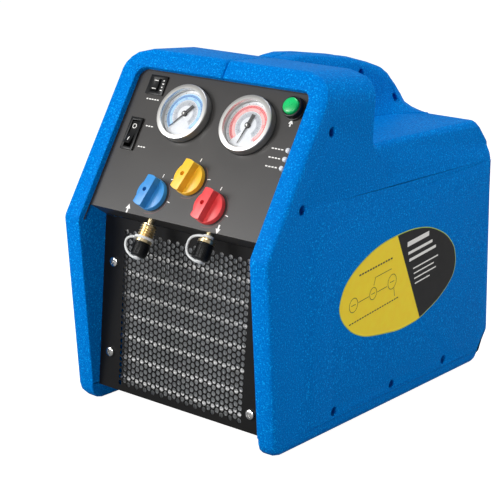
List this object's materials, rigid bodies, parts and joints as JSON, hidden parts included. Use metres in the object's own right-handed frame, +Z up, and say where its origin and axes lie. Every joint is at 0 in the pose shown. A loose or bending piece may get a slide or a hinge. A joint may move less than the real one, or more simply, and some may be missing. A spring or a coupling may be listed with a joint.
{
  "type": "refrigerant recovery machine",
  "caption": "Portable refrigerant recovery machine with a blue moulded housing, slanted gauge console, valve knobs, hose ports, a perforated front and a carry handle.",
  "frame": {"origin": "centre of the footprint's bounding box, on the ground", "axes": "+Z up, -Y towards the console and front grille, +X to the right of someone facing the console"},
  "size_m": [0.25, 0.4198, 0.3397],
  "materials": {
    "blue_plastic": "pebbled",
    "dark_panel": "satin powder coat",
    "black_plastic": "satin",
    "black_paint": "matt",
    "polished_steel": "polished",
    "dark_steel": "black oxide",
    "grey_steel": "zinc grey",
    "cast_aluminium": "cast",
    "copper": "drawn copper",
    "brass": "turned",
    "rubber": "moulded",
    "pale_rubber": "moulded",
    "white_dial": "matt white",
    "clear_glass": "clear",
    "green_plastic": "gloss",
    "blue_knob": "satin",
    "yellow_knob": "satin",
    "red_knob": "satin"
  },
  "bodies": {
    "housing": {"right_shell": "blue_plastic", "left_shell": "blue_plastic", "console_panel": "dark_panel", "low_gauge_bezel": "polished_steel", "low_gauge_case": "dark_steel", "low_gauge_dial": "white_dial", "low_gauge_lens": "clear_glass", "high_gauge_bezel": "polished_steel", "high_gauge_case": "dark_steel", "high_gauge_dial": "white_dial", "high_gauge_lens": "clear_glass", "valve_block": "cast_aluminium", "start_button_housing": "black_plastic", "breaker_housing": "black_plastic", "rocker_housing": "black_plastic", "upper_lamp": "clear_glass", "middle_lamp": "clear_glass", "lower_lamp": "clear_glass", "inlet_port": "brass", "inlet_cap_strap": "pale_rubber", "outlet_port": "brass", "outlet_cap_strap": "pale_rubber", "front_grille": "dark_panel", "base_tray": "grey_steel", "front_left_foot": "rubber", "rear_left_foot": "rubber", "front_right_foot": "rubber", "rear_right_foot": "rubber", "condenser_fins": "cast_aluminium", "condenser_tubes": "copper", "fan_shroud": "black_plastic", "motor": "grey_steel", "crankcase": "cast_aluminium", "right_cylinder": "cast_aluminium", "left_cylinder": "cast_aluminium", "start_capacitor": "white_dial", "capacitor_clamp": "grey_steel", "terminal_box": "black_plastic", "high_pressure_switch": "brass", "suction_pipe": "copper", "discharge_pipe": "copper", "low_gauge_pipe": "copper", "high_gauge_pipe": "copper", "rear_panel": "dark_panel", "mains_inlet": "black_plastic"},
    "inlet_valve": {"inlet_knob": "blue_knob", "inlet_valve_stem": "brass"},
    "mode_valve": {"mode_knob": "yellow_knob", "mode_valve_stem": "brass"},
    "outlet_valve": {"outlet_knob": "red_knob", "outlet_valve_stem": "brass"},
    "low_pointer": {"low_gauge_pointer": "black_paint"},
    "high_pointer": {"high_gauge_pointer": "black_paint"},
    "start_push": {"start_button": "green_plastic"},
    "breaker_push": {"breaker_button": "black_plastic"},
    "power_rocker": {"rocker": "black_plastic"},
    "rotor": {"fan": "black_plastic", "motor_shaft": "polished_steel"},
    "inlet_cap": {"inlet_port_cap": "black_plastic"},
    "outlet_cap": {"outlet_port_cap": "black_plastic"}
  },
  "joints": [
    {"name": "inlet_valve_turn", "type": "hinge", "parent": "housing", "child": "inlet_valve", "pos_m": [-0.0315, -0.1811, 0.2177], "axis": [0, -0.8643, 0.503], "range_deg": [-90, 0]},
    {"name": "mode_valve_turn", "type": "hinge", "parent": "housing", "child": "mode_valve", "pos_m": [0.0032, -0.17029, 0.23628], "axis": [0, -0.8643, 0.503], "range_deg": [-90, 90]},
    {"name": "outlet_valve_turn", "type": "hinge", "parent": "housing", "child": "outlet_valve", "pos_m": [0.036, -0.1814, 0.21718], "axis": [0, -0.8643, 0.503], "range_deg": [-90, 0]},
    {"name": "low_pointer_turn", "type": "hinge", "parent": "housing", "child": "low_pointer", "pos_m": [-0.029, -0.1462, 0.29099], "axis": [0, -0.8643, 0.503], "range_deg": [-281, 0]},
    {"name": "high_pointer_turn", "type": "hinge", "parent": "housing", "child": "high_pointer", "pos_m": [0.0443, -0.14645, 0.29055], "axis": [0, -0.8643, 0.503], "range_deg": [-290, 0]},
    {"name": "start_push_slide", "type": "slide", "parent": "housing", "child": "start_push", "axis": [0, -0.8643, 0.503], "range_m": [-0.003, 0], "stiffness_N_per_m": 400, "springref_m": 0.0005},
    {"name": "breaker_push_slide", "type": "slide", "parent": "housing", "child": "breaker_push", "axis": [0, -0.8643, 0.503], "range_m": [-0.0015, 0]},
    {"name": "power_rocker_turn", "type": "hinge", "parent": "housing", "child": "power_rocker", "pos_m": [-0.0816, -0.15281, 0.26313], "axis": [1, 0, 0], "range_deg": [0, 18]},
    {"name": "rotor_spin", "type": "hinge", "parent": "housing", "child": "rotor", "pos_m": [0, -0.12066, 0.1], "axis": [0, 1, 0], "continuous": true},
    {"name": "inlet_cap_turn", "type": "hinge", "parent": "housing", "child": "inlet_cap", "pos_m": [-0.0288, -0.19823, 0.17375], "axis": [0, -0.503, -0.8643], "continuous": true},
    {"name": "outlet_cap_turn", "type": "hinge", "parent": "housing", "child": "outlet_cap", "pos_m": [0.0396, -0.19823, 0.17375], "axis": [0, -0.503, -0.8643], "continuous": true}
  ]
}
